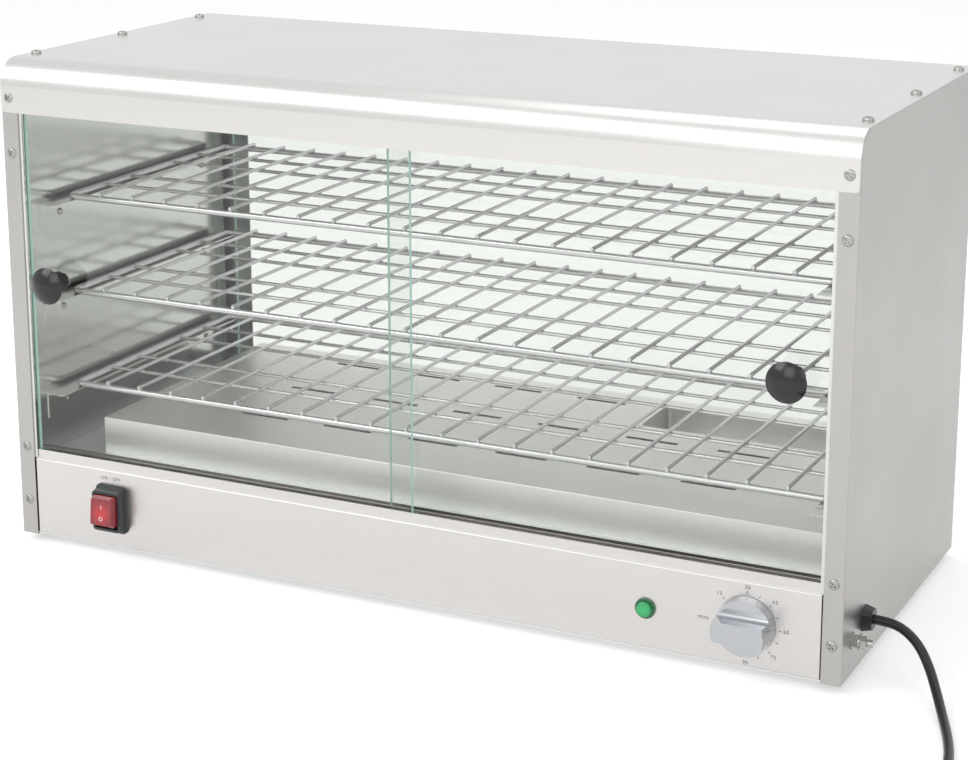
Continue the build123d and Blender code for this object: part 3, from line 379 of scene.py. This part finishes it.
bpy.ops.object.select_all(action="DESELECT")
bpy.ops.mesh.primitive_cylinder_add(vertices=32, radius=head_radius, depth=head_height,
                                    location=(0, 0, head_height / 2))
screw_head = bpy.context.object
bpy.ops.object.mode_set(mode="EDIT")
bpy.ops.mesh.select_all(action="DESELECT")
bpy.ops.object.mode_set(mode="OBJECT")
for face in screw_head.data.polygons:
    face.select = face.normal.z > 0.5
bpy.ops.object.mode_set(mode="EDIT")
bpy.ops.mesh.select_mode(type="FACE")
bpy.ops.mesh.region_to_loop()
bpy.ops.mesh.bevel(offset=head_rounding, segments=5, profile=0.5)
bpy.ops.object.mode_set(mode="OBJECT")
for turn in (0, quarter):
    bpy.ops.object.select_all(action="DESELECT")
    blade_turn = turn + quarter / 2
    bpy.ops.mesh.primitive_cube_add(size=1, location=(0, 0, head_height), rotation=(0, 0, blade_turn))
    bpy.ops.transform.resize(value=(cross_length, cross_width, 2 * cross_depth), orient_type="LOCAL")
    blade = bpy.context.object
    bpy.context.view_layer.objects.active = screw_head
    finished("BOOLEAN", operation="DIFFERENCE", object=blade)
    bpy.data.objects.remove(blade)


def screws_on(name, inward, piece_name):
    """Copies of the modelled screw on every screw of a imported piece, which it then replaces."""
    inward = Vector(inward)
    axis = [abs(v) for v in inward].index(1)
    turn = (-inward).to_track_quat("Z", "Y").to_matrix().to_4x4()
    made = []
    for low, high in separate_solids(name):
        length = high[axis] - low[axis] - head_height
        seat = (low + high) / 2
        outer = high[axis] if inward[axis] < 0 else low[axis]
        seat[axis] = outer + inward[axis] * head_height
        head = screw_head.copy()
        head.data = screw_head.data.copy()
        bpy.context.collection.objects.link(head)
        shank = round_bar(shank_radius, length, (0, 0, -length / 2))
        bpy.ops.object.transform_apply(location=True, rotation=True, scale=True)
        for item in (head, shank):
            item.data.transform(Matrix.Translation(seat) @ turn)
            made.append(item)
    piece = piece_from(piece_name, made, screw_finish)
    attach(piece, "cabinet")
    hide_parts(name)


screws_on("front_screws", (0, 1, 0), "front_cross_screws")
screws_on("top_screws", (0, 0, -1), "top_cross_screws")
screws_on("rear_screws", (0, -1, 0), "rear_cross_screws")
bpy.data.objects.remove(screw_head)
paint(screw_finish, "left_knob_screw", "right_knob_screw", "base_screws", "runner_screws")
paint(screw_finish, "thermostat_screws", "foot_screws", "earth_stud", "earth_nuts")


# The switch: a clear red polycarbonate rocker with a neon behind it, so that it glows from its middle. It
# sits in a moulded black rubber boot, dull and soft-edged, and its I and O are printed white.
def glowing(name, code, glow, centre, reach, strength, roughness):
    """Clear coloured plastic lit from behind: the glow fades out over reach from the centre."""
    material, tree, shader = new_finish(name, Roughness=roughness, IOR=1.58, Coat_Weight=0.3)
    shader.inputs["Emission Color"].default_value = linear(glow)
    where = add_node(tree, "ShaderNodeTexCoord").outputs["Object"]
    gap = add_node(tree, "ShaderNodeVectorMath", {0: where, 1: tuple(centre)}, operation="DISTANCE")
    fade = add_node(tree, "ShaderNodeMapRange", {
        "Value": gap.outputs["Value"], "From Min": 0.0, "From Max": reach,
        "To Min": strength, "To Max": 0.0})
    tree.links.new(fade.outputs["Result"], shader.inputs["Emission Strength"])
    rib = 0.003
    ribs = add_node(tree, "ShaderNodeTexNoise", {"Vector": where, "Scale": 1 / rib, "Detail": 1.0})
    tree.links.new(toned(tree, ribs.outputs["Fac"], code, 0.2), shader.inputs["Base Color"])
    return material


def lettering(words, size, place, turn=None):
    """Printed words, 0.06 mm thick, as a mesh on the plane through place that faces -Y."""
    half_thickness = 0.00003
    bpy.ops.object.select_all(action="DESELECT")
    bpy.ops.object.text_add()
    text = bpy.context.object
    text.data.body = words
    text.data.size = size
    text.data.align_x = "CENTER"
    text.data.align_y = "CENTER"
    text.data.extrude = half_thickness
    text.data.space_character = 1.15
    bpy.ops.object.convert(target="MESH")
    text = bpy.context.object
    text.data.transform(Matrix.Rotation(quarter, 4, "X"))
    if turn is not None:
        text.data.transform(turn)
    text.data.transform(Matrix.Translation(place))
    return text


rocker_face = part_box("switch_rocker")[0].y
boot_low, boot_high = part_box("switch_boot")
panel_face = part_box("control_panel")[0].y
switch_x = (boot_low.x + boot_high.x) / 2
switch_z = (boot_low.z + boot_high.z) / 2
pivot_depth = 0.002
rocker_pivot = Vector((switch_x, panel_face + pivot_depth, switch_z))
rocker_reach = 0.021
rocker_tilt = math.radians(-6)
rocker_neon = (switch_x, rocker_face, switch_z + 0.001)
mark_height = 0.0055
rocker_lit = glowing("lit_red_polycarbonate", "8c1b27", "e0202a", rocker_neon, 0.012, 0.55, 0.22)
boot_rubber = grained("moulded_black_rubber", "35393b", 0.42, 0.0009, 0.00001)
paint(rocker_lit, "switch_rocker")
paint(boot_rubber, "switch_boot")
tilt = Matrix.Rotation(rocker_tilt, 4, "X")
marks = []
for words, rise in (("I", 0.0045), ("O", -0.0065)):
    place = rocker_pivot + tilt @ Vector((0, -rocker_reach, rise))
    marks.append(lettering(words, mark_height, place, tilt))
white_print = grained("white_pad_print", "f2f0ee", 0.5, 0.0005, 0.000002)
rocker_marks = piece_from("rocker_marks", marks, white_print)
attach(rocker_marks, "rocker")


# The pilot lamp: a domed lens of clear green polycarbonate, lit by a neon, in a darker ring that a nut
# holds from behind the panel
lens_low, lens_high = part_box("lamp_lens")
lens_centre = (lens_low + lens_high) / 2
lens_centre.y = lens_low.y
lamp_lit = glowing("lit_green_polycarbonate", "1f9a58", "35e08a", lens_centre, 0.008, 0.3, 0.14)
lamp_ring = glowing("deep_green_polycarbonate", "0b5e35", "1fae62", lens_centre, 0.011, 0.12, 0.16)
paint(lamp_lit, "lamp_lens")
paint(lamp_ring, "lamp_body", "lamp_nut")


# The dial: a zinc casting, polished and chromed, pressed on the thermostat's steel shaft. It is almost a
# mirror, so its faces show the bench and the room as flat greys.
dial_chrome = grained("bright_chromed_dial", "b9bbbf", 0.1, 0.003, 0.00001, share=0.02, Metallic=1.0)
paint(dial_chrome, "dial_knob", "dial_spindle")
moulded_nylon = grained("moulded_black_nylon", "1f1f20", 0.45, 0.0007, 0.00001)
paint(moulded_nylon, "switch_body", "thermostat_body")


# The marks on the panel: pad printed in flat grey ink, the scale of temperatures round the dial, its ticks
# and the words above the switch
dial_low, dial_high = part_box("dial_knob")
dial_centre = (dial_low + dial_high) / 2
label_radius = 0.0325
tick_radius = 0.0283
tick_length = 0.0024
tick_width = 0.0006
ink_lift = 0.00003
label_height = 0.0046
first_label_out = 0.0045
side_label_out = 0.0012
words_left = 0.001
words_up = 0.0055
scale = (("MIN", 180), ("15", 135), ("30", 90), ("45", 45), ("60", 0), ("75", -45), ("90", -90))
ink = grained("grey_pad_print", "4c4b4e", 0.6, 0.0005, 0.000002)
prints = []
for words, angle in scale:
    turn = math.radians(angle)
    out = label_radius + (first_label_out if words == "MIN" else side_label_out * abs(math.cos(turn)))
    place = Vector((dial_centre.x + out * math.cos(turn), panel_face - ink_lift,
                    dial_centre.z + out * math.sin(turn)))
    prints.append(lettering(words, label_height, place))
for angle in (135, 90, 67.5, 45, 22.5, 0, -22.5, -45, -67.5):
    turn = math.radians(angle)
    place = (dial_centre.x + tick_radius * math.cos(turn), panel_face,
             dial_centre.z + tick_radius * math.sin(turn))
    bpy.ops.object.select_all(action="DESELECT")
    bpy.ops.mesh.primitive_cube_add(size=1, location=place, rotation=(0, -turn, 0))
    bpy.ops.transform.resize(value=(tick_length, 2 * ink_lift, tick_width), orient_type="LOCAL")
    prints.append(bpy.context.object)
place = Vector((switch_x - words_left, panel_face - ink_lift, boot_high.z + words_up))
prints.append(lettering("ON / OFF", label_height, place))
panel_marks = piece_from("panel_marks", prints, ink)
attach(panel_marks, "cabinet")


# The mains end: a moulded black nylon cord grip, faintly glossy, that clamps the lead where it leaves the
# side. The plug moulded on the lead's far end and the feet are a softer, duller black.
grip_nylon = grained("ribbed_black_nylon", "101011", 0.34, 0.0008, 0.00001)
paint(grip_nylon, "cable_gland")
soft_rubber = grained("soft_black_rubber", "2a2a2a", 0.6, 0.001, 0.00002)
paint(soft_rubber, "feet", "mains_plug")

# The lead: 8 mm round flexible cord with a smooth black sheath. It leaves the grip level, bends down to
# the bench, runs forward out of view and is wound into a flat coil with its plug at the end.
cord_diameter = 0.008
coil_inner = 0.030
coil_pitch = 0.0086
half_turns = 6
side_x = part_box("side_panel_right")[1].x
front_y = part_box("top_panel")[0].y
lead_offsets = [
    (0.008, 0.061, 0.045), (0.022, 0.061, 0.045), (0.036, 0.0575, 0.0415), (0.050, 0.049, 0.034),
    (0.0625, 0.035, 0.0225), (0.074, 0.015, 0.0115), (0.0855, -0.010, 0.005), (0.0965, -0.038, 0.004),
    (0.1055, -0.066, 0.004), (0.1105, -0.091, 0.004), (0.1115, -0.116, 0.004), (0.1115, -0.136, 0.004),
]
route = [Vector((side_x + x, front_y + y, z)) for x, y, z in lead_offsets]


def coil_points(start):
    """Points round each half turn: spiral in on the floor, climb once, spiral out on top."""
    radii = [coil_inner + coil_pitch / 2 * i for i in reversed(range(half_turns))]
    radii += [coil_inner + coil_pitch / 2 * (i + 1) for i in range(half_turns)]
    ahead, across = Vector((0, -1, 0)), Vector((1, 0, 0))
    points = []
    steps = 8
    for turn, radius in enumerate(radii):
        climb = coil_pitch if turn == half_turns - 1 else 0
        centre = start + across * radius
        for k in range(steps):
            angle = math.pi * (k + 0.5) / steps
            bulge = radius / math.cos(math.pi / steps / 2)
            lift = Vector((0, 0, climb * (1 - math.cos(angle)) / 2))
            points.append(centre - across * bulge * math.cos(angle) + ahead * bulge * math.sin(angle) + lift)
        start = start + across * 2 * radius + Vector((0, 0, climb))
        ahead, across = -ahead, -across
    points.append(start)
    points.append(start + ahead * cord_diameter)
    return points


def smooth_cord(name, points, radius, material):
    """A round cord along one smooth spline through the route's control points."""
    curve = bpy.data.curves.new(name, "CURVE")
    curve.dimensions = "3D"
    curve.bevel_depth = radius
    curve.bevel_resolution = 6
    curve.use_fill_caps = True
    curve.resolution_u = 8
    spline = curve.splines.new("NURBS")
    spline.points.add(len(points) - 1)
    for point, place in zip(spline.points, points):
        point.co = (*place, 1)
    spline.order_u = 3
    spline.use_endpoint_u = True
    curve.materials.append(material)
    cord = bpy.data.objects.new(name, curve)
    bpy.context.collection.objects.link(cord)
    return cord


lead_sheath = grained("black_cord_sheath", "101011", 0.34, 0.001, 0.00001)
coil_start = route[-1] - Vector((0, cord_diameter, 0))
lead = smooth_cord("lead", route + coil_points(coil_start), cord_diameter / 2, lead_sheath)
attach(lead, "cabinet")
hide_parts("power_cord", "cord_coil")


# The studio: a white bench and a white room, as the eye and every gloss see them, and four soft lamps:
# a key from the left, a fill from the right, one above and one in front
bpy.ops.object.select_all(action="DESELECT")
bpy.ops.mesh.primitive_plane_add(size=60, location=(0, 0, 0))
floor = bpy.context.object
floor.name = floor.data.name = "floor"


def seen(tree):
    """1 for rays that the camera, a gloss or clear glass sends, and 0 for light falling on things."""
    path = add_node(tree, "ShaderNodeLightPath")
    pair = add_node(tree, "ShaderNodeMath", {
        0: path.outputs["Is Camera Ray"], 1: path.outputs["Is Glossy Ray"]}, operation="MAXIMUM")
    both = add_node(tree, "ShaderNodeMath", {
        0: pair.outputs[0], 1: path.outputs["Is Transmission Ray"]}, operation="MAXIMUM")
    return both.outputs[0]


floor_lift = 0.36
floor_material, floor_tree, floor_shader = new_finish(
    "white_bench", Roughness=0.8, Base_Color=linear("e8e8e7"))
floor_shader.inputs["Specular IOR Level"].default_value = 0.0
floor_shader.inputs["Emission Color"].default_value = linear("ffffff")
lift = add_node(floor_tree, "ShaderNodeMath", {0: seen(floor_tree), 1: floor_lift}, operation="MULTIPLY")
floor_tree.links.new(lift.outputs[0], floor_shader.inputs["Emission Strength"])
floor.data.materials.append(floor_material)

room_light = 0.72
world = bpy.data.worlds.new("studio")
bpy.context.scene.world = world
world.use_nodes = True
background = world.node_tree.nodes["Background"]
background.inputs["Color"].default_value = linear("ffffff")
level = add_node(world.node_tree, "ShaderNodeMapRange", {
    "Value": seen(world.node_tree), "To Min": room_light, "To Max": 1.0})
world.node_tree.links.new(level.outputs["Result"], background.inputs["Strength"])


def soft_lamp(name, place, target, size, power):
    """A square area lamp aimed at a point."""
    data = bpy.data.lights.new(name, "AREA")
    data.size = size
    data.energy = power
    lamp = bpy.data.objects.new(name, data)
    lamp.location = place
    lamp.rotation_euler = (Vector(target) - Vector(place)).to_track_quat("-Z", "Y").to_euler()
    bpy.context.collection.objects.link(lamp)


soft_lamp("key_lamp", (-1.6, -1.8, 2.2), (0, 0, 0.2), 1.6, 26)
soft_lamp("fill_lamp", (2.2, -1.2, 1.2), (0, 0, 0.2), 1.4, 6)
soft_lamp("top_lamp", (0, 0.6, 2.6), (0, 0, 0.3), 1.8, 11)
soft_lamp("front_lamp", (0.2, -2.6, 1.5), (0, 0, 0.25), 1.6, 15)


# The camera stands before the right-hand corner and a little above it, as in the photograph, and is shifted
# down to keep the cabinet in the frame
camera_tilt = math.radians(13.95)
camera_turn = math.radians(25.97)
camera_data = bpy.data.cameras.new("camera")
camera_data.lens = 84.1
camera_data.sensor_width = 36
camera_data.shift_y = -0.12
camera = bpy.data.objects.new("camera", camera_data)
camera.location = (0.8655, -1.7809, 0.769)
camera.rotation_euler = (quarter - camera_tilt, 0, camera_turn)
bpy.context.collection.objects.link(camera)
bpy.context.scene.camera = camera
bpy.context.scene.view_settings.view_transform = "Standard"
